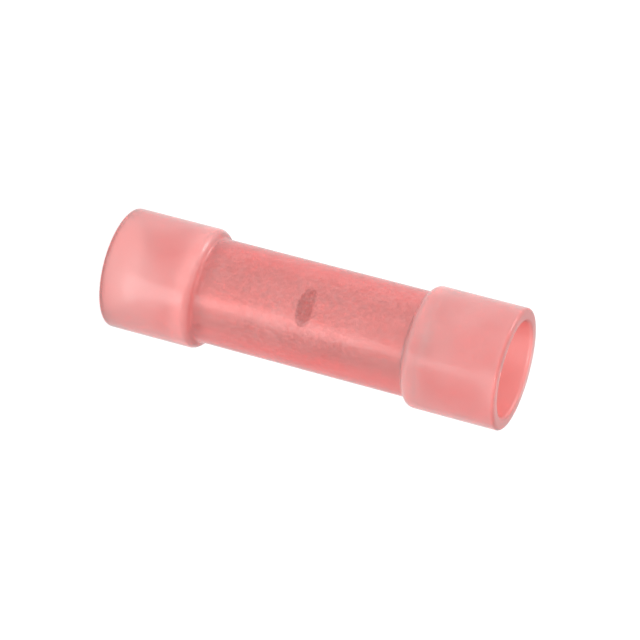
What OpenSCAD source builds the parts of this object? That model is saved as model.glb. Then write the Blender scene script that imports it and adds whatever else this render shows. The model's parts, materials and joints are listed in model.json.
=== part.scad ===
// Butt splice connector: a translucent nylon sleeve, belled at both ends, round a plated crimp barrel.
// It stands on one mouth with its axis along +Z. The origin is the centre of that mouth. Millimetres.

/* [Sleeve] */
// Length of the sleeve, mouth to mouth
sleeve_length = 38; // [34:0.5:44]
// Outside diameter of the tube over the barrel
tube_od = 9.7; // [9:0.1:10.4]
// Outside diameter of each bell
bell_od = 11.15; // [10.8:0.05:12.4]
// Bore of each bell, which takes the wire's insulation
bell_bore = 8.75; // [8:0.05:9.2]
// Rounding of the inner and the outer edge of each mouth
mouth_round = 0.3; // [0.1:0.05:0.45]

/* [Shoulder and funnel] */
// Convex rounding where a bell turns in towards the tube
shoulder_round = 0.8; // [0.3:0.05:1.2]
// Concave fillet where a shoulder meets the tube
foot_fillet = 0.3; // [0.1:0.05:0.6]
// Distance from an end of the barrel to the foot of its shoulder
shoulder_lead = 0.1; // [0:0.05:0.8]
// Length of the cone that leads from a bell's bore to its lip
funnel_length = 1.55; // [1:0.05:3]
// How far each lip reaches in over the end of the barrel
lip_cover = 0.45; // [0.2:0.05:0.8]

/* [Barrel] */
// Length of the crimp barrel
barrel_length = 19.6; // [16:0.2:22]
// Outside diameter of the crimp barrel
barrel_od = 7; // [6.6:0.05:7.4]
// Bore of the crimp barrel, which takes the bared wire
barrel_bore = 4.6; // [4:0.05:5]
// Bevel inside each end of the barrel
entry_bevel = 0.65; // [0.2:0.05:0.8]
// Rounding of the outer edge at each end of the barrel
end_round = 0.2; // [0.1:0.05:0.3]
// Gap between the barrel and the sleeve, all round and at each end
barrel_gap = 0.05; // [0.02:0.01:0.15]

/* [Wire stop] */
// Depth of the notch pressed across the outside of the barrel
notch_depth = 0.45; // [0.3:0.05:0.8]
// Width of the notch along the barrel
notch_width = 1.5; // [1:0.1:2.4]
// Height of the ridge that the notch raises in the bore
ridge_height = 0.75; // [0.5:0.05:1.2]
// How far the pressing draws the bore in all round
bore_pinch = 0.2; // [0.16:0.02:0.4]

/* [Serrations] */
// Number of grooves round each half of the bore
groove_count = 3; // [1:1:5]
// Distance from one groove to the next
groove_pitch = 1.4; // [0.8:0.1:1.8]
// Width of a groove at the wall of the bore
groove_width = 0.4; // [0.2:0.05:0.5]
// Depth of a groove
groove_depth = 0.12; // [0.05:0.01:0.25]
// Distance from the entry bevel to the first groove
groove_lead = 2; // [1:0.1:3]

/* [Hidden] */
$fn = 96;
arc_steps = 8;
nylon_colour = [0.92, 0.58, 0.55];
plating_colour = [0.76, 0.75, 0.73];

// Radii
tube_r = tube_od / 2;
bell_r = bell_od / 2;
bell_bore_r = bell_bore / 2;
barrel_r = barrel_od / 2;
bore_r = barrel_bore / 2;
pocket_r = barrel_r + barrel_gap;
lip_r = barrel_r - lip_cover;
pinch_r = bore_r - bore_pinch;

// Heights above the middle of the splice
mouth_z = sleeve_length / 2;
barrel_end_z = barrel_length / 2;
lip_z = barrel_end_z + barrel_gap;
funnel_z = lip_z + funnel_length;
foot_z = barrel_end_z + shoulder_lead;
bevel_z = barrel_end_z - entry_bevel;

// A shoulder is two arcs that turn by the same angle, with a riser between them if the step is tall
step_height = bell_r - tube_r;
arcs_height = shoulder_round + foot_fillet;
shoulder_turn = acos(max(0, 1 - step_height / arcs_height));
bell_z = foot_z + arcs_height * sin(shoulder_turn);

// The ridge is a crescent between the wall and a round hole that is shifted away from the notch
ridge_shift = ridge_height - bore_pinch;
ridge_half = notch_width / 2;
crest_half = ridge_half / 2;
flank_slope = ridge_shift / (ridge_half - crest_half);
ridge_margin = 0.1;
pinch_half = ridge_half + ridge_margin;
ridge_root_r = (bore_r + barrel_r) / 2;
notch_r = (pow(notch_width / 2, 2) + pow(notch_depth, 2)) / (2 * notch_depth);

// Points along an arc, from angle a0 to angle a1
function arc(centre, r, a0, a1) =
    [for (i = [0:arc_steps])
        let (a = a0 + (a1 - a0) * i / arc_steps)
        centre + r * [cos(a), sin(a)]];

// A half outline followed by its mirror image below the middle
function both_halves(half) =
    concat(half, [for (i = [len(half) - 1:-1:0]) [half[i][0], -half[i][1]]]);

// Upper half of the sleeve's section, from the tube over the mouth and back down to the barrel's pocket
sleeve_half = concat(
    arc([tube_r + foot_fillet, foot_z], foot_fillet, 180, 180 - shoulder_turn),
    arc([bell_r - shoulder_round, bell_z], shoulder_round, -shoulder_turn, 0),
    arc([bell_r - mouth_round, mouth_z - mouth_round], mouth_round, 0, 90),
    arc([bell_bore_r + mouth_round, mouth_z - mouth_round], mouth_round, 90, 180),
    [[bell_bore_r, funnel_z], [lip_r, lip_z], [pocket_r, lip_z]]
);

// The grooves in one half of the bore, from the mouth of the barrel inwards
groove_points = [
    for (i = [0:groove_count - 1])
        let (z = bevel_z - groove_lead - i * groove_pitch)
        each [
            [bore_r, z + groove_width / 2],
            [bore_r + groove_depth, z],
            [bore_r, z - groove_width / 2]
        ]
];

// Upper half of the barrel's section, from its outer wall over the end and down the bore to the pinch
barrel_half = concat(
    arc([barrel_r - end_round, barrel_end_z - end_round], end_round, 0, 90),
    [[bore_r + entry_bevel, barrel_end_z], [bore_r, bevel_z]],
    groove_points,
    [[bore_r, pinch_half + bore_pinch], [pinch_r, pinch_half]]
);

// The shifted hole that leaves the ridge standing, narrowest at the crest
module ridge_hole() {
    reach = ridge_half + ridge_margin;
    reach_r = pinch_r + flank_slope * (reach - crest_half);
    translate([0, ridge_shift, 0])
        rotate_extrude()
            polygon([
                [0, -reach], [reach_r, -reach], [pinch_r, -crest_half],
                [pinch_r, crest_half], [reach_r, reach], [0, reach]
            ]);
}

// The ridge inside the bore that stops each wire at mid-length
module stop_ridge() {
    difference() {
        cylinder(r = ridge_root_r, h = 2 * ridge_half + ridge_margin, center = true);
        ridge_hole();
    }
}

// The round-nosed notch that a punch leaves across the outside
module stop_notch() {
    translate([0, notch_depth - barrel_r - notch_r, 0])
        rotate([0, 90, 0])
            cylinder(r = notch_r, h = barrel_od, center = true);
}

module insulation_sleeve() {
    color(nylon_colour)
        translate([0, 0, mouth_z])
            rotate_extrude()
                polygon(both_halves(sleeve_half));
}

module crimp_barrel() {
    color(plating_colour)
        translate([0, 0, mouth_z])
            difference() {
                union() {
                    rotate_extrude()
                        polygon(both_halves(barrel_half));
                    stop_ridge();
                }
                stop_notch();
            }
}

insulation_sleeve();
crimp_barrel();
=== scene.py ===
"""Looks of a nylon butt splice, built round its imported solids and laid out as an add-on."""

import json
import math

import bmesh
import bpy
from bpy.props import FloatProperty, FloatVectorProperty, IntProperty, PointerProperty
from bpy.types import Operator, Panel, PropertyGroup
from mathutils import Matrix, Vector, noise


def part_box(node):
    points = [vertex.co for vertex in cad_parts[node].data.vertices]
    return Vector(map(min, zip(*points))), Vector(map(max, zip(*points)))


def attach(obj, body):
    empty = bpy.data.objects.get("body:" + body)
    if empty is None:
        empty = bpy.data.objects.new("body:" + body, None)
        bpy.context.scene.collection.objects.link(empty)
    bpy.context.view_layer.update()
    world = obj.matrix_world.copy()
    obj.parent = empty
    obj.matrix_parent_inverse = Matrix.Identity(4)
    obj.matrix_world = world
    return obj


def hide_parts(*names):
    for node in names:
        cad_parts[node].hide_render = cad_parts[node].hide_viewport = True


bl_info = {
    "name": "Butt splice connector",
    "version": (1, 0, 0),
    "blender": (4, 5, 0),
    "location": "3D View > Sidebar > Splice",
    "description": "Builds a translucent nylon butt splice and the stage that it stands on",
    "category": "Add Mesh",
}

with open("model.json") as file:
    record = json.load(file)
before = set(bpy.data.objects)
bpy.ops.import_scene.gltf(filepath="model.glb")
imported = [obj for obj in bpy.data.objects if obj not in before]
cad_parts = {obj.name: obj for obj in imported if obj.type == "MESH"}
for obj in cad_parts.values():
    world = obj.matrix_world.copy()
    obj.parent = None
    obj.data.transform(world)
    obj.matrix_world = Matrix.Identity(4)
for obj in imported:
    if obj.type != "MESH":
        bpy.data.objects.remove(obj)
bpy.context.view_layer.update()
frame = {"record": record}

# Units, turns, directions and white
MILLIMETRE = 0.001
QUARTER_TURN = math.pi / 2
HALF_TURN = math.pi
FULL_TURN = 2 * math.pi
UPWARD = Vector((0.0, 0.0, 1.0))
WHITE = (1.0, 1.0, 1.0, 1.0)

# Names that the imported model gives
SLEEVE_NODE = "insulation_sleeve"
BARREL_NODE = "crimp_barrel"
NYLON_SLOT = "red_nylon"
PLATING_SLOT = "tin_plating"
BODY = "root"

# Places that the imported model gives
SLEEVE_LOW, SLEEVE_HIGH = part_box(SLEEVE_NODE)
BARREL_LOW, BARREL_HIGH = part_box(BARREL_NODE)
MOUNTS = {mount["name"]: mount["dims"] for mount in frame["record"]["mounts"]}
MIDDLE_Z = (SLEEVE_LOW.z + SLEEVE_HIGH.z) / 2
HALF_LENGTH = (SLEEVE_HIGH.z - SLEEVE_LOW.z) / 2
HALF_BARREL = (BARREL_HIGH.z - BARREL_LOW.z) / 2
BARREL_RADIUS = BARREL_HIGH.x

# Fineness of the meshes
COARSE_STEP = 0.4 * MILLIMETRE
FINE_STEP = 0.05 * MILLIMETRE
ARC_STEPS = 10
EDGE_STEPS = 6
SHARP_ANGLE = math.radians(29.0)
SAME_PLACE = 1e-7

# Range that most of a noise lies in, and a narrower one for a stronger contrast
NOISE_LOW, NOISE_HIGH = 0.3, 0.7
MOTTLE_LOW, MOTTLE_HIGH = 0.35, 0.65

# Sockets of a Mix node for colours, by number because their names repeat
MIX_SHARE = 0
MIX_FIRST = 6
MIX_SECOND = 7
MIX_RESULT = 2

# Camera, strip lights and floor
SENSOR_WIDTH = 36.0
STRIP_LIFT = 0.5 * MILLIMETRE
FLOOR_RADIUS = 3.0
FLOOR_SIDES = 96
FLOOR_DROP = 0.02 * MILLIMETRE

# Light paths, which cross the clear nylon many times
BOUNCES = {
    "max_bounces": 32,
    "transmission_bounces": 32,
    "glossy_bounces": 16,
    "diffuse_bounces": 12,
    "volume_bounces": 16,
}


def length(name, description, millimetres):
    """A length property whose default is given in millimetres."""
    return FloatProperty(
        name=name,
        description=description,
        default=millimetres * MILLIMETRE,
        min=0.0,
        precision=5,
        subtype="DISTANCE",
        unit="LENGTH",
    )


def angle(name, description, degrees):
    """An angle property whose default is given in degrees."""
    return FloatProperty(
        name=name,
        description=description,
        default=math.radians(degrees),
        subtype="ANGLE",
        unit="ROTATION",
    )


def factor(name, description, default):
    """A property between 0 and 1."""
    return FloatProperty(
        name=name, description=description, default=default, min=0.0, max=1.0, subtype="FACTOR"
    )


def colour(name, description, default):
    """A linear colour property."""
    return FloatVectorProperty(
        name=name, description=description, default=default, min=0.0, max=1.0, size=3, subtype="COLOR"
    )


def amount(name, description, default):
    """A property that is never below 0, such as a light's power."""
    return FloatProperty(name=name, description=description, default=default, min=0.0)


class SleeveSettings(PropertyGroup):
    """Sizes and finish of the nylon sleeve."""

    bell_radius: length("Bell radius", "Outside radius of each bell", SLEEVE_HIGH.x / MILLIMETRE)
    tube_radius: length("Tube radius", "Outside radius over the barrel", 4.85)
    bell_bore: length("Bell bore", "Inside radius of each bell", MOUNTS["insulation_bore_top"]["r_mm"])
    mouth_round: length("Mouth rounding", "Rounding of the mouth's edges", 0.3)
    shoulder_round: length("Shoulder rounding", "Convex rounding of a shoulder", 0.8)
    foot_fillet: length("Foot fillet", "Concave fillet at a shoulder's foot", 0.3)
    shoulder_lead: length("Shoulder lead", "From a barrel end to the foot of its shoulder", 0.1)
    funnel_length: length("Funnel length", "Cone from a bell's bore to its lip", 1.55)
    lip_cover: length("Lip cover", "How far a lip reaches over the barrel's end", 0.45)
    barrel_gap: length("Barrel gap", "Gap between barrel and sleeve", 0.05)
    waviness: length("Waviness", "How far the moulded wall strays from a true round", 0.02)
    wave: length("Wave", "Length of the waves in the moulded wall", 6.0)
    around: IntProperty(name="Around", description="Segments round the axis", default=160, min=24)
    clear: colour("Clear nylon", "Tint of the light that crosses the surface", (0.99, 0.99, 0.99))
    # The bore colour is painted shade: a deeper red on the inside of each bell, standing in for light
    # that reaches it only through the nylon.
    bore: colour("Bore", "Tint of the light that crosses the bore of a bell", (0.88, 0.31, 0.29))
    haze: colour("Haze", "Colour of the milky share of the nylon", (0.85, 0.72, 0.70))
    shoulder: colour("Shoulder", "Colour of the milky share at the shoulders", (0.99, 0.54, 0.52))
    rim: colour("Rim", "Colour of the milky share on the flat rims", (0.82, 0.40, 0.38))
    bell_haze: factor("Bell haze", "Milky share on the outside of the bells", 0.235)
    shoulder_haze: factor("Shoulder haze", "Milky share on the outside of the shoulders", 0.40)
    tube_haze: factor("Tube haze", "Milky share on the outside of the tube", 0.13)
    funnel_haze: factor("Funnel haze", "Milky share on the cone inside a bell", 0.2)
    mouth_haze: factor("Mouth haze", "Milky share inside a bell near its mouth", 0.12)
    inner_haze: factor("Inner haze", "Milky share on the rest of the inside", 0.03)
    rim_haze: factor("Rim haze", "Milky share on the flat rim", 0.38)
    least_rough: factor("Least roughness", "Roughness where the nylon is clearest", 0.29)
    most_rough: factor("Most roughness", "Roughness where the nylon is cloudiest", 0.36)
    gloss: factor("Gloss", "Weight of the smooth skin on the outside", 0.28)
    gloss_rough: factor("Gloss roughness", "Roughness of the smooth skin", 0.14)
    milky_rough: factor("Milky roughness", "Roughness of the milky share", 0.42)
    cloud_size: length("Cloud size", "Breadth of the faint clouds in the nylon", 5.0)
    cloudiness: factor("Cloudiness", "How far the clouds change the milky share", 0.15)
    grain_size: length("Grain size", "Breadth of the fine grain on the nylon", 0.3)
    grain_depth: length("Grain depth", "Relief of the fine grain", 0.006)
    tube_grain: factor("Tube grain", "How far the grain changes the milky share of the tube", 0.26)
    bell_grain: factor("Bell grain", "How far the grain changes the milky share of the bells", 0.06)
    absorbed: colour("Absorption", "Colour that light takes on inside the nylon", (0.98, 0.06, 0.02))
    density: amount("Density", "Absorption for each metre", 690.0)
    refraction: amount("Refraction", "How strongly the cloudy nylon bends light", 1.38)


class BarrelSettings(PropertyGroup):
    """Sizes and finish of the plated barrel."""

    bore: length("Bore", "Inside radius", MOUNTS["conductor_bore_top"]["r_mm"])
    entry_bevel: length("Entry bevel", "Bevel inside each end", 0.65)
    end_round: length("End rounding", "Rounding of the outer edge at each end", 0.2)
    notch_depth: length("Notch depth", "Depth of the pressed notch", 0.45)
    notch_width: length("Notch width", "Width of the notch along the barrel", 1.5)
    ridge_height: length("Ridge height", "Height of the ridge that stops each wire", 0.75)
    ridge_margin: length("Ridge margin", "From the notch's width to the end of the pinch", 0.1)
    bore_pinch: length("Bore pinch", "How far the pressing draws the bore in", 0.2)
    groove_pitch: length("Groove pitch", "From one serration to the next", 1.4)
    groove_width: length("Groove width", "Width of a serration", 0.4)
    groove_depth: length("Groove depth", "Depth of a serration", 0.12)
    groove_lead: length("Groove lead", "From the entry bevel to the first serration", 2.0)
    groove_count: IntProperty(name="Grooves", description="Serrations in each half", default=3, min=0)
    around: IntProperty(name="Around", description="Segments round the axis", default=192, min=24)
    plating: colour("Plating", "Colour of the tin plating", (0.91, 0.95, 0.93))
    # Partly the bare copper under the tin and partly painted shade: darker than copper alone, for the
    # notch's hollow.
    copper_and_painted_shade: colour("Pressed metal", "Colour of the metal laid bare by the punch", (0.71, 0.13, 0.02))
    mottle: factor("Mottle", "Brightness of the plating's darker specks, as a share", 0.72)
    least_rough: factor("Least roughness", "Roughness where the plating is smoothest", 0.48)
    most_rough: factor("Most roughness", "Roughness where the plating is dullest", 0.62)
    pressed_rough: factor("Pressed roughness", "More roughness where the punch went in", 0.3)
    grain_size: length("Grain size", "Breadth of the grain of the plating", 0.28)
    drawn_size: length("Drawn size", "Breadth of the lines from drawing the tube", 0.5)
    drawn_ratio: factor("Drawn ratio", "Breadth of such a line over its length", 0.08)
    grain_share: factor("Grain share", "Share of the grain in the relief, with lines for the rest", 0.7)
    relief: length("Relief", "Depth of the grain and the lines", 0.012)


class StageSettings(PropertyGroup):
    """Camera, lights and floor."""

    azimuth: angle("Azimuth", "Direction of the camera round the splice", 10.0)
    elevation: angle("Elevation", "Height of the camera above the level", 17.8)
    roll: angle("Roll", "Turn of the picture that lays the splice across the frame", 104.8)
    distance: length("Distance", "From the camera to the middle of the splice", 269.8)
    focal_length: amount("Focal length", "On a sensor 36 mm wide, in millimetres", 169.2)
    aim_right: length("Aim right", "How far right of the splice's middle the camera aims", 0.355)
    aim_down: length("Aim down", "How far below the splice's middle the camera aims", 0.24)
    ambient: amount("Ambient", "Even light from all round", 0.86)
    side_glow: amount("Side glow", "More light from the upper side of the picture", 0.16)
    light_distance: length("Light distance", "From the front and the top light to the splice", 300.0)
    front_power: amount("Front", "Power of the broad light beside the camera, in watts", 0.27)
    front_size: length("Front size", "Side of the front light", 250.0)
    front_turn: angle("Front turn", "Turn of the front light to the picture's upper side", 24.0)
    top_power: amount("Top", "Power of the light above the right end, in watts", 0.42)
    top_size: length("Top size", "Side of the top light", 120.0)
    top_turn: angle("Top turn", "Turn of the top light to the picture's upper side", 90.0)
    top_rise: angle("Top rise", "Height of the top light above the level", 34.0)
    fill_power: amount("Fill", "Power of the light that shines into the right end, in watts", 0.00004)
    fill_size: length("Fill size", "Side of the fill light", 3.5)
    fill_spread: angle("Fill spread", "Width of the fill light's beam", 2.5)
    fill_distance: length("Fill distance", "From the fill light to the mouth", 100.0)
    fill_turn: angle("Fill turn", "Turn of the fill light to the picture's upper side", -28.0)
    fill_rise: angle("Fill rise", "Height of the fill light above the level", 17.0)
    near_power: amount("Near strip", "Power of the strip light at the splice's foot, in watts", 0.0031)
    near_width: length("Near width", "Width of the near strip", 9.0)
    far_power: amount("Far strip", "Power of the strip light further out, in watts", 0.031)
    far_width: length("Far width", "Width of the far strip", 30.0)
    strip_turn: angle("Strip turn", "Turn of both strips to the picture's upper side", -28.0)
    strip_start: length("Strip start", "From the splice's axis to the near strip", 10.0)
    strip_join: length("Strip join", "From the splice's axis to where the strips meet", 45.0)
    strip_end: length("Strip end", "From the splice's axis to the far strip's end", 150.0)
    floor: colour("Floor", "Colour of the floor, which also glows", (0.12, 0.12, 0.12))
    floor_rough: factor("Floor roughness", "Roughness of the floor", 0.8)
    floor_glow: amount("Floor glow", "Light that the pale floor gives by itself", 0.93)


class Signal:
    """A shader socket that can be used in Python expressions, which add Math nodes."""

    def __init__(self, sheet, socket):
        self.sheet = sheet
        self.socket = socket

    def combine(self, operation, first, second):
        """Add a Math node."""
        operands = {0: first, 1: second}
        return self.sheet.node("ShaderNodeMath", {"operation": operation}, operands)["Value"]

    def __add__(self, other):
        return self.combine("ADD", self, other)

    def __radd__(self, other):
        return self.combine("ADD", other, self)

    def __sub__(self, other):
        return self.combine("SUBTRACT", self, other)

    def __rsub__(self, other):
        return self.combine("SUBTRACT", other, self)

    def __mul__(self, other):
        return self.combine("MULTIPLY", self, other)

    def __rmul__(self, other):
        return self.combine("MULTIPLY", other, self)

    def __abs__(self):
        return self.combine("ABSOLUTE", self, 0.0)


class NodeOutputs:
    """The outputs of one node, as signals."""

    def __init__(self, sheet, made):
        self.sheet = sheet
        self.made = made

    def __getitem__(self, name):
        return Signal(self.sheet, self.made.outputs[name])


class NodeSheet:
    """The node tree of a material or a world, empty at first."""

    def __init__(self, owner):
        owner.use_nodes = True
        self.owner = owner
        self.tree = owner.node_tree
        self.tree.nodes.clear()

    def node(self, kind, settings=None, inputs=None):
        """Add a node, set it up, then fill or link its sockets."""
        made = self.tree.nodes.new(kind)
        for name, value in (settings or {}).items():
            setattr(made, name, value)
        for name, value in (inputs or {}).items():
            socket = made.inputs[name]
            if isinstance(value, Signal):
                self.tree.links.new(value.socket, socket)
            else:
                socket.default_value = value
        return NodeOutputs(self, made)

    def vector(self, operation, *operands):
        """Add a Vector Math node."""
        return self.node("ShaderNodeVectorMath", {"operation": operation}, dict(enumerate(operands)))

    def object_point(self):
        return self.node("ShaderNodeTexCoord")["Object"]

    def from_axis(self, point):
        """Distance of a point from the Z axis."""
        level = self.vector("MULTIPLY", point, (1.0, 1.0, 0.0))["Vector"]
        return self.vector("LENGTH", level)["Value"]

    def height(self, point):
        return self.node("ShaderNodeSeparateXYZ", None, {"Vector": point})["Z"]

    def speckle(self, point, size, detail=2.0, stretch=(1.0, 1.0, 1.0)):
        """Noise between 0 and 1 whose blotches are about size metres across."""
        scaled = self.node("ShaderNodeMapping", None, {"Vector": point, "Scale": stretch})["Vector"]
        return self.node(
            "ShaderNodeTexNoise", None, {"Vector": scaled, "Scale": 1.0 / size, "Detail": detail}
        )["Fac"]

    def remap(self, value, low, high, to_low, to_high):
        """Carry a value from one range to another, smoothly and without overshoot."""
        return self.node(
            "ShaderNodeMapRange",
            {"interpolation_type": "SMOOTHSTEP"},
            {"Value": value, "From Min": low, "From Max": high, "To Min": to_low, "To Max": to_high},
        )["Result"]

    def blend(self, share, first, second):
        """Mix two colours."""
        colours = {MIX_SHARE: share, MIX_FIRST: first, MIX_SECOND: second}
        return self.node("ShaderNodeMix", {"data_type": "RGBA"}, colours)[MIX_RESULT]

    def bump(self, height, depth):
        """A normal from a height between 0 and 1 that stands for depth metres."""
        return self.node(
            "ShaderNodeBump", None, {"Height": height, "Distance": depth, "Strength": 1.0}
        )["Normal"]


def rgba(values):
    """A colour with full alpha, as shader sockets take it."""
    return (*values, 1.0)


class SectionPen:
    """Draws half a section in the XZ plane with bmesh operators, to be spun round Z."""

    def __init__(self, mesh):
        self.mesh = mesh
        self.step = COARSE_STEP
        self.tip = None

    def start(self, radius, z):
        self.tip = self.mesh.verts.new((radius, 0.0, z))

    def line(self, radius, z):
        """Go straight to a point, with a vertex about every step."""
        begin = self.tip.co.copy()
        end = Vector((radius, 0.0, z))
        count = max(1, round((end - begin).length / self.step))
        for i in range(1, count + 1):
            made = bmesh.ops.extrude_vert_indiv(self.mesh, verts=[self.tip])
            self.tip = made["verts"][0]
            self.tip.co = begin.lerp(end, i / count)

    def arc(self, radius, z, turn, steps):
        """Go round a centre by an angle, counted from +X towards +Z."""
        made = bmesh.ops.spin(
            self.mesh,
            geom=[self.tip],
            cent=(radius, 0.0, z),
            axis=(0.0, -1.0, 0.0),
            angle=turn,
            steps=steps,
            use_merge=False,
            use_duplicate=False,
        )
        self.tip = next(part for part in made["geom_last"] if isinstance(part, bmesh.types.BMVert))

    def spin_round(self, steps):
        """Close the section where it meets its start, and turn it into a ring that faces outwards."""
        bmesh.ops.remove_doubles(self.mesh, verts=self.mesh.verts, dist=SAME_PLACE)
        bmesh.ops.spin(
            self.mesh,
            geom=self.mesh.verts[:] + self.mesh.edges[:],
            cent=(0.0, 0.0, 0.0),
            axis=(0.0, 0.0, 1.0),
            angle=FULL_TURN,
            steps=steps,
            use_merge=True,
            use_duplicate=False,
        )
        bmesh.ops.remove_doubles(self.mesh, verts=self.mesh.verts, dist=SAME_PLACE)
        bmesh.ops.recalc_face_normals(self.mesh, faces=self.mesh.faces)


def put_in_scene(name, data):
    """Make an object of a mesh, a light or a camera."""
    made = bpy.data.objects.new(name, data)
    bpy.context.scene.collection.objects.link(made)
    return made


def finished_piece(name, mesh, material):
    """Make an object of a bmesh at the origin, smooth but for its sharp edges."""
    for face in mesh.faces:
        face.smooth = True
    data = bpy.data.meshes.new(name)
    mesh.to_mesh(data)
    mesh.free()
    data.set_sharp_from_angle(angle=SHARP_ANGLE)
    data.materials.append(material)
    return put_in_scene(name, data)


def shoulder_shape(sleeve):
    """The angle that both arcs of a shoulder turn by, and the shoulder's length along the axis."""
    arcs = sleeve.shoulder_round + sleeve.foot_fillet
    step = sleeve.bell_radius - sleeve.tube_radius
    turn = math.acos(max(0.0, 1.0 - step / arcs))
    return turn, arcs * math.sin(turn)


def draw_sleeve_section(pen, sleeve):
    """Draw up the outside, over the upper mouth, down the inside and round the lower mouth."""
    turn, shoulder = shoulder_shape(sleeve)
    pocket = BARREL_RADIUS + sleeve.barrel_gap
    lip = BARREL_RADIUS - sleeve.lip_cover
    mouth = sleeve.mouth_round
    high_foot = BARREL_HIGH.z + sleeve.shoulder_lead
    low_foot = BARREL_LOW.z - sleeve.shoulder_lead
    high_lip = BARREL_HIGH.z + sleeve.barrel_gap
    low_lip = BARREL_LOW.z - sleeve.barrel_gap

    pen.start(sleeve.tube_radius, low_foot)
    pen.line(sleeve.tube_radius, high_foot)
    pen.arc(sleeve.tube_radius + sleeve.foot_fillet, high_foot, -turn, ARC_STEPS)
    pen.arc(sleeve.bell_radius - sleeve.shoulder_round, high_foot + shoulder, turn, ARC_STEPS)
    pen.line(sleeve.bell_radius, SLEEVE_HIGH.z - mouth)
    pen.arc(sleeve.bell_radius - mouth, SLEEVE_HIGH.z - mouth, QUARTER_TURN, EDGE_STEPS)
    pen.line(sleeve.bell_bore + mouth, SLEEVE_HIGH.z)
    pen.arc(sleeve.bell_bore + mouth, SLEEVE_HIGH.z - mouth, QUARTER_TURN, EDGE_STEPS)
    pen.line(sleeve.bell_bore, high_lip + sleeve.funnel_length)
    pen.line(lip, high_lip)
    pen.line(pocket, high_lip)
    pen.line(pocket, low_lip)
    pen.line(lip, low_lip)
    pen.line(sleeve.bell_bore, low_lip - sleeve.funnel_length)
    pen.line(sleeve.bell_bore, SLEEVE_LOW.z + mouth)
    pen.arc(sleeve.bell_bore + mouth, SLEEVE_LOW.z + mouth, QUARTER_TURN, EDGE_STEPS)
    pen.line(sleeve.bell_radius - mouth, SLEEVE_LOW.z)
    pen.arc(sleeve.bell_radius - mouth, SLEEVE_LOW.z + mouth, QUARTER_TURN, EDGE_STEPS)
    pen.line(sleeve.bell_radius, low_foot - shoulder)
    pen.arc(sleeve.bell_radius - sleeve.shoulder_round, low_foot - shoulder, turn, ARC_STEPS)
    pen.arc(sleeve.tube_radius + sleeve.foot_fillet, low_foot, -turn, ARC_STEPS)


def soften_wall(mesh, sleeve):
    """Draw the outside in a little here and there, as a moulded wall is."""
    for vert in mesh.verts:
        radius = math.hypot(vert.co.x, vert.co.y)
        if radius < sleeve.tube_radius - sleeve.waviness:
            continue
        share = 0.5 + 0.5 * noise.noise(vert.co / sleeve.wave)
        scale = 1.0 - sleeve.waviness * share / radius
        vert.co.x *= scale
        vert.co.y *= scale


class NylonZones:
    """Masks between 0 and 1 for the stretches of the sleeve's surface.

    Most of them rise or fall between two distances from the splice's middle along its axis.
    """

    def __init__(self, sheet, sleeve, point):
        margin = 0.1 * MILLIMETRE
        fade = 1.0 * MILLIMETRE
        foot = HALF_BARREL + sleeve.shoulder_lead
        lip = HALF_BARREL + sleeve.barrel_gap
        cone_end = lip + sleeve.funnel_length
        shoulder = shoulder_shape(sleeve)[1]
        radius = sheet.from_axis(point)
        away = abs(sheet.height(point) - MIDDLE_Z)
        self.outside = sheet.remap(
            radius, sleeve.bell_bore + margin, sleeve.tube_radius - margin, 0.0, 1.0
        )
        self.belled = sheet.remap(away, foot - shoulder / 5, foot + shoulder * 2 / 3, 0.0, 1.0)
        self.shoulder = sheet.remap(away, foot, foot + shoulder, 0.0, 1.0) * sheet.remap(
            away, foot + shoulder, foot + shoulder * 5 / 2, 1.0, 0.0
        )
        edge = sleeve.mouth_round
        self.rim = sheet.remap(away, HALF_LENGTH - edge * 4 / 3, HALF_LENGTH - edge / 2, 0.0, 1.0)
        self.mouth = sheet.remap(away, HALF_LENGTH - 5 * fade, HALF_LENGTH - 2 * fade, 0.0, 1.0)
        self.past_lip = sheet.remap(away, lip, cone_end + fade, 0.0, 1.0)
        self.cone = sheet.remap(away, lip, lip + margin, 0.0, 1.0) * sheet.remap(
            away, cone_end - margin, cone_end + fade, 1.0, 0.0
        )


def milky_share(sheet, sleeve, zones, cloud, grain):
    """How milky the nylon is at each place, a little cloudier here and there."""
    outer = zones.belled * (sleeve.bell_haze - sleeve.tube_haze) + sleeve.tube_haze
    outer = outer + zones.shoulder * (sleeve.shoulder_haze - sleeve.bell_haze)
    inner = zones.cone * (sleeve.funnel_haze - sleeve.inner_haze) + sleeve.inner_haze
    inner = inner + zones.mouth * (sleeve.mouth_haze - sleeve.inner_haze)
    share = outer * zones.outside + inner * (1.0 - zones.outside)
    grain_reach = sleeve.tube_grain - (sleeve.tube_grain - sleeve.bell_grain) * zones.belled
    ripple = sheet.remap(grain, NOISE_LOW, NOISE_HIGH, -1.0, 1.0) * grain_reach
    thinnest = 1.0 - sleeve.cloudiness
    thickest = 1.0 + sleeve.cloudiness
    share = share * sheet.remap(cloud, NOISE_LOW, NOISE_HIGH, thinnest, thickest) * (ripple + 1.0)
    return share * (1.0 - zones.rim) + zones.rim * sleeve.rim_haze


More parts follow.
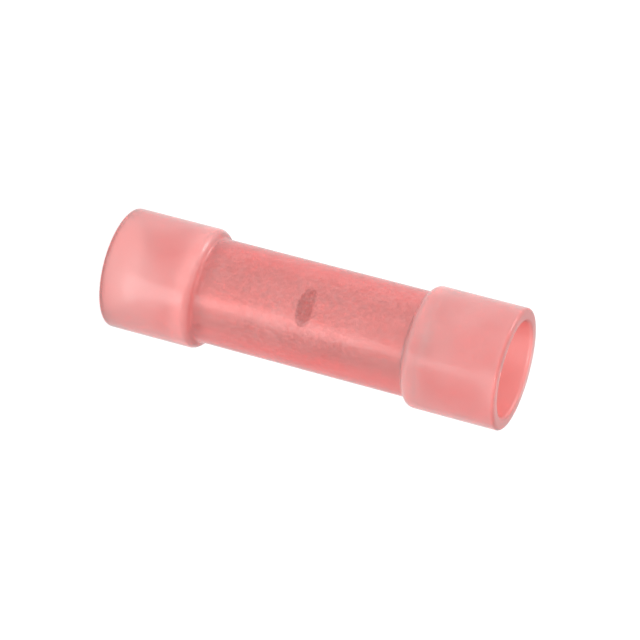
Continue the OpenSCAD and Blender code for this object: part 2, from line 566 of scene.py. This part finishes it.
def nylon_material(sleeve):
    """Cloudy red nylon: clear and absorbing, with a milky share on its surfaces."""
    sheet = NodeSheet(bpy.data.materials.new(NYLON_SLOT))
    point = sheet.object_point()
    zones = NylonZones(sheet, sleeve, point)
    cloud = sheet.speckle(point, sleeve.cloud_size, detail=3.0)
    grain = sheet.speckle(point, sleeve.grain_size)
    relief = sheet.bump(grain, sleeve.grain_depth)
    # Painted shade: past the lip, the bore of each bell is tinted a deeper red, standing in for light
    # that reaches it only through the nylon.
    bore_painted_shade = zones.past_lip * (1.0 - zones.outside)
    skin = zones.outside * sleeve.gloss
    milk = sheet.blend(zones.shoulder * zones.outside, rgba(sleeve.haze), rgba(sleeve.shoulder))
    clear = sheet.node("ShaderNodeBsdfPrincipled", None, {
        "Base Color": sheet.blend(bore_painted_shade, rgba(sleeve.clear), rgba(sleeve.bore)),
        "Roughness": sheet.remap(
            cloud, NOISE_LOW, NOISE_HIGH, sleeve.least_rough, sleeve.most_rough
        ),
        "IOR": sleeve.refraction,
        "Transmission Weight": 1.0,
        "Coat Weight": skin,
        "Coat Roughness": sleeve.gloss_rough,
        "Normal": relief,
    })
    milky = sheet.node("ShaderNodeBsdfPrincipled", None, {
        "Base Color": sheet.blend(zones.rim, milk, rgba(sleeve.rim)),
        "Roughness": sleeve.milky_rough,
        "IOR": sleeve.refraction,
        "Coat Weight": skin,
        "Coat Roughness": sleeve.gloss_rough,
        "Normal": relief,
    })
    share = milky_share(sheet, sleeve, zones, cloud, grain)
    mixed = sheet.node("ShaderNodeMixShader", None, {0: share, 1: clear["BSDF"], 2: milky["BSDF"]})
    absorbing = sheet.node(
        "ShaderNodeVolumeAbsorption", None, {"Color": rgba(sleeve.absorbed), "Density": sleeve.density}
    )
    sheet.node("ShaderNodeOutputMaterial", None, {
        "Surface": mixed["Shader"],
        "Volume": absorbing["Volume"],
    })
    return sheet.owner


class SPLICE_OT_build_sleeve(Operator):
    """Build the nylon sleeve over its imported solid"""

    bl_idname = "splice.build_sleeve"
    bl_label = "Nylon sleeve"

    def execute(self, context):
        sleeve = context.scene.splice_sleeve
        mesh = bmesh.new()
        pen = SectionPen(mesh)
        draw_sleeve_section(pen, sleeve)
        pen.spin_round(sleeve.around)
        soften_wall(mesh, sleeve)
        piece = finished_piece("sleeve_nylon", mesh, nylon_material(sleeve))
        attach(piece, BODY)
        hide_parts(SLEEVE_NODE)
        return {"FINISHED"}


def middle_of_wall(barrel):
    """Radius halfway between the bore and the outside."""
    return (BARREL_RADIUS + barrel.bore) / 2


def groove_heights(barrel):
    """Heights of the serrations in the upper half of the bore, from the mouth inwards."""
    first = BARREL_HIGH.z - barrel.entry_bevel - barrel.groove_lead
    return [first - i * barrel.groove_pitch for i in range(barrel.groove_count)]


def cut_groove(pen, barrel, z):
    """Draw one serration on the way down the bore."""
    half = barrel.groove_width / 2
    pen.line(barrel.bore, z + half)
    pen.line(barrel.bore + barrel.groove_depth, z)
    pen.line(barrel.bore, z - half)


def draw_barrel_section(pen, barrel):
    """Draw up the outside, over the end, down the serrated bore and round the lower end."""
    edge = barrel.end_round
    bevel = barrel.entry_bevel
    stop = barrel.notch_width / 2 + barrel.ridge_margin
    foot = stop + barrel.bore_pinch
    pinch = barrel.bore - barrel.bore_pinch
    grooves = groove_heights(barrel)

    pen.start(BARREL_RADIUS, BARREL_LOW.z + edge)
    pen.line(BARREL_RADIUS, MIDDLE_Z - foot)
    pen.step = FINE_STEP
    pen.line(BARREL_RADIUS, MIDDLE_Z + foot)
    pen.step = COARSE_STEP
    pen.line(BARREL_RADIUS, BARREL_HIGH.z - edge)
    pen.arc(BARREL_RADIUS - edge, BARREL_HIGH.z - edge, QUARTER_TURN, EDGE_STEPS)
    pen.line(barrel.bore + bevel, BARREL_HIGH.z)
    pen.line(barrel.bore, BARREL_HIGH.z - bevel)
    for z in grooves:
        cut_groove(pen, barrel, z)
    pen.line(barrel.bore, MIDDLE_Z + foot)
    pen.step = FINE_STEP
    pen.line(pinch, MIDDLE_Z + stop)
    pen.line(pinch, MIDDLE_Z - stop)
    pen.line(barrel.bore, MIDDLE_Z - foot)
    pen.step = COARSE_STEP
    for z in reversed(grooves):
        cut_groove(pen, barrel, 2 * MIDDLE_Z - z)
    pen.line(barrel.bore, BARREL_LOW.z + bevel)
    pen.line(barrel.bore + bevel, BARREL_LOW.z)
    pen.line(BARREL_RADIUS - edge, BARREL_LOW.z)
    pen.arc(BARREL_RADIUS - edge, BARREL_LOW.z + edge, QUARTER_TURN, EDGE_STEPS)


def press_stop(mesh, barrel):
    """Press the notch into the outside and raise the crescent ridge in the bore."""
    half = barrel.notch_width / 2
    nose = (half**2 + barrel.notch_depth**2) / (2 * barrel.notch_depth)
    nose_y = barrel.notch_depth - BARREL_RADIUS - nose
    shift = barrel.ridge_height - barrel.bore_pinch
    crest = half / 2
    slope = shift / (half - crest)
    pinch = barrel.bore - barrel.bore_pinch
    wall = middle_of_wall(barrel)
    for vert in mesh.verts:
        x, y, z = vert.co
        away = abs(z - MIDDLE_Z)
        radius = math.hypot(x, y)
        if radius > wall and away < nose:
            vert.co.y = max(y, nose_y + math.sqrt(nose**2 - away**2))
        elif radius < wall and away < half + barrel.bore_pinch:
            hole = pinch + slope * max(0.0, away - crest)
            reach = shift * y / radius + math.sqrt(max(0.0, hole**2 - (shift * x / radius) ** 2))
            if reach < radius:
                vert.co.x *= reach / radius
                vert.co.y *= reach / radius


def plating_material(barrel):
    """Matte tin plating with a fine grain, and in the punched notch a dark brown that is partly bare
    copper and partly painted shade.
    """
    sheet = NodeSheet(bpy.data.materials.new(PLATING_SLOT))
    point = sheet.object_point()
    grain = sheet.speckle(point, barrel.grain_size, detail=3.0)
    drawn = sheet.speckle(point, barrel.drawn_size, stretch=(1.0, 1.0, barrel.drawn_ratio))
    radius = sheet.from_axis(point)
    wall = middle_of_wall(barrel)
    deep = 0.06 * MILLIMETRE
    shallow = 0.005 * MILLIMETRE
    sunk = sheet.remap(radius, BARREL_RADIUS - deep, BARREL_RADIUS - shallow, 1.0, 0.0)
    near_middle = sheet.remap(
        abs(sheet.height(point) - MIDDLE_Z), barrel.notch_width / 2, barrel.notch_width, 1.0, 0.0
    )
    outer = sheet.remap(radius, wall - deep, wall, 0.0, 1.0)
    # Where the notch is coloured dark brown: partly bare copper, partly painted shade in the hollow.
    copper_and_painted_shade = sunk * near_middle * outer
    mottled = sheet.blend(
        sheet.remap(grain, MOTTLE_LOW, MOTTLE_HIGH, 0.0, 1.0),
        rgba([barrel.mottle * channel for channel in barrel.plating]),
        rgba(barrel.plating),
    )
    rough = sheet.remap(grain, NOISE_LOW, NOISE_HIGH, barrel.least_rough, barrel.most_rough)
    relief = grain * barrel.grain_share + drawn * (1.0 - barrel.grain_share)
    shader = sheet.node("ShaderNodeBsdfPrincipled", None, {
        "Base Color": sheet.blend(copper_and_painted_shade, mottled, rgba(barrel.copper_and_painted_shade)),
        "Metallic": 1.0,
        "Roughness": rough + copper_and_painted_shade * barrel.pressed_rough,
        "Normal": sheet.bump(relief, barrel.relief),
    })
    sheet.node("ShaderNodeOutputMaterial", None, {"Surface": shader["BSDF"]})
    return sheet.owner


class SPLICE_OT_build_barrel(Operator):
    """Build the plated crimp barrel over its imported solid"""

    bl_idname = "splice.build_barrel"
    bl_label = "Crimp barrel"

    def execute(self, context):
        barrel = context.scene.splice_barrel
        mesh = bmesh.new()
        pen = SectionPen(mesh)
        draw_barrel_section(pen, barrel)
        pen.spin_round(barrel.around)
        press_stop(mesh, barrel)
        bmesh.ops.recalc_face_normals(mesh, faces=mesh.faces)
        piece = finished_piece("barrel_plated", mesh, plating_material(barrel))
        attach(piece, BODY)
        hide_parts(BARREL_NODE)
        return {"FINISHED"}


class View:
    """The camera's place and the directions of its picture."""

    def __init__(self, stage):
        self.facing = Vector((math.sin(stage.azimuth), -math.cos(stage.azimuth), 0.0))
        self.across = self.facing.cross(UPWARD)
        self.back = self.towards(0.0, stage.elevation)
        upright = self.across.cross(self.back)
        upright_share = math.cos(stage.roll)
        across_share = math.sin(stage.roll)
        self.right = across_share * upright - upright_share * self.across
        self.up = upright_share * upright + across_share * self.across
        self.middle = Vector((0.0, 0.0, MIDDLE_Z))
        self.target = self.middle + stage.aim_right * self.right - stage.aim_down * self.up

    def towards(self, turn, rise):
        """A direction turned from the camera's side towards the picture's upper side, and raised."""
        level = math.cos(turn) * self.facing + math.sin(turn) * self.across
        return math.cos(rise) * level + math.sin(rise) * UPWARD


def place_camera(stage, view):
    """Set up the camera of the photo, rolled so that the splice lies across the frame."""
    data = bpy.data.cameras.new("camera")
    data.sensor_width = SENSOR_WIDTH
    data.lens = stage.focal_length
    camera = put_in_scene("camera", data)
    turn = Matrix((view.right, view.up, view.back)).transposed().to_4x4()
    camera.matrix_world = Matrix.Translation(view.target + stage.distance * view.back) @ turn
    bpy.context.scene.camera = camera


def place_light(name, power, size, place, target, spread=HALF_TURN):
    """A square soft light that faces its target."""
    data = bpy.data.lights.new(name, "AREA")
    data.energy = power
    data.size = size
    data.spread = spread
    lamp = put_in_scene(name, data)
    lamp.location = place
    lamp.rotation_euler = (target - place).to_track_quat("-Z", "Y").to_euler()


def lay_strip(name, power, way, start, end, width):
    """A narrow light flat on the floor that runs out from the splice, unseen by the camera."""
    data = bpy.data.lights.new(name, "AREA")
    data.shape = "RECTANGLE"
    data.energy = power
    data.size = end - start
    data.size_y = width
    lamp = put_in_scene(name, data)
    lamp.location = (start + end) / 2 * way + STRIP_LIFT * UPWARD
    lamp.rotation_euler = (HALF_TURN, 0.0, math.atan2(way.y, way.x))
    lamp.visible_camera = False


def light_the_splice(stage, view):
    """Three soft lights, and two strips on the floor whose gleam runs along the sleeve."""
    front = view.middle + stage.light_distance * view.towards(stage.front_turn, 0.0)
    place_light("front", stage.front_power, stage.front_size, front, view.middle)
    top = view.middle + stage.light_distance * view.towards(stage.top_turn, stage.top_rise)
    place_light("top", stage.top_power, stage.top_size, top, view.middle)
    mouth = Vector((0.0, 0.0, SLEEVE_HIGH.z))
    fill = mouth + stage.fill_distance * view.towards(stage.fill_turn, stage.fill_rise)
    place_light("fill", stage.fill_power, stage.fill_size, fill, mouth, stage.fill_spread)
    way = view.towards(stage.strip_turn, 0.0)
    start, join, end = stage.strip_start, stage.strip_join, stage.strip_end
    lay_strip("near_strip", stage.near_power, way, start, join, stage.near_width)
    lay_strip("far_strip", stage.far_power, way, join, end, stage.far_width)


def light_the_sky(stage, view):
    """Pale surroundings, brighter at the upper side of the picture."""
    sheet = NodeSheet(bpy.data.worlds.new("surroundings"))
    way = sheet.node("ShaderNodeTexCoord")["Generated"]
    lean = sheet.vector("DOT_PRODUCT", way, view.across)["Value"]
    upper = sheet.remap(lean, 0.0, 1.0, 0.0, stage.side_glow)
    sky = sheet.node("ShaderNodeBackground", None, {"Color": WHITE, "Strength": stage.ambient + upper})
    sheet.node("ShaderNodeOutputWorld", None, {"Surface": sky["Background"]})
    bpy.context.scene.world = sheet.owner


def lay_floor(stage):
    """A wide pale disc, a hair below the mouth that the splice stands on."""
    mesh = bmesh.new()
    bmesh.ops.create_circle(mesh, cap_ends=True, segments=FLOOR_SIDES, radius=FLOOR_RADIUS)
    bmesh.ops.translate(mesh, verts=mesh.verts, vec=-FLOOR_DROP * UPWARD)
    sheet = NodeSheet(bpy.data.materials.new("pale_floor"))
    shader = sheet.node("ShaderNodeBsdfPrincipled", None, {
        "Base Color": rgba(stage.floor),
        "Roughness": stage.floor_rough,
        "Emission Color": WHITE,
        "Emission Strength": stage.floor_glow,
    })
    sheet.node("ShaderNodeOutputMaterial", None, {"Surface": shader["BSDF"]})
    finished_piece("floor", mesh, sheet.owner)


class SPLICE_OT_build_stage(Operator):
    """Set up the camera, the soft lights and the pale floor"""

    bl_idname = "splice.build_stage"
    bl_label = "Stage"

    def execute(self, context):
        stage = context.scene.splice_stage
        view = View(stage)
        place_camera(stage, view)
        light_the_splice(stage, view)
        light_the_sky(stage, view)
        lay_floor(stage)
        context.scene.view_settings.view_transform = "Standard"
        for name, count in BOUNCES.items():
            setattr(context.scene.cycles, name, count)
        return {"FINISHED"}


class SPLICE_PT_sidebar(Panel):
    """Buttons that build the splice"""

    bl_label = "Butt splice"
    bl_idname = "SPLICE_PT_sidebar"
    bl_space_type = "VIEW_3D"
    bl_region_type = "UI"
    bl_category = "Splice"

    def draw(self, context):
        for operator in OPERATORS:
            self.layout.operator(operator.bl_idname)


OPERATORS = (SPLICE_OT_build_stage, SPLICE_OT_build_barrel, SPLICE_OT_build_sleeve)
CLASSES = (SleeveSettings, BarrelSettings, StageSettings, *OPERATORS, SPLICE_PT_sidebar)


def register():
    for cls in CLASSES:
        bpy.utils.register_class(cls)
    bpy.types.Scene.splice_sleeve = PointerProperty(type=SleeveSettings)
    bpy.types.Scene.splice_barrel = PointerProperty(type=BarrelSettings)
    bpy.types.Scene.splice_stage = PointerProperty(type=StageSettings)


def unregister():
    del bpy.types.Scene.splice_stage
    del bpy.types.Scene.splice_barrel
    del bpy.types.Scene.splice_sleeve
    for cls in reversed(CLASSES):
        bpy.utils.unregister_class(cls)


def main():
    register()
    bpy.ops.splice.build_stage()
    bpy.ops.splice.build_barrel()
    bpy.ops.splice.build_sleeve()


if __name__ == "__main__":
    main()
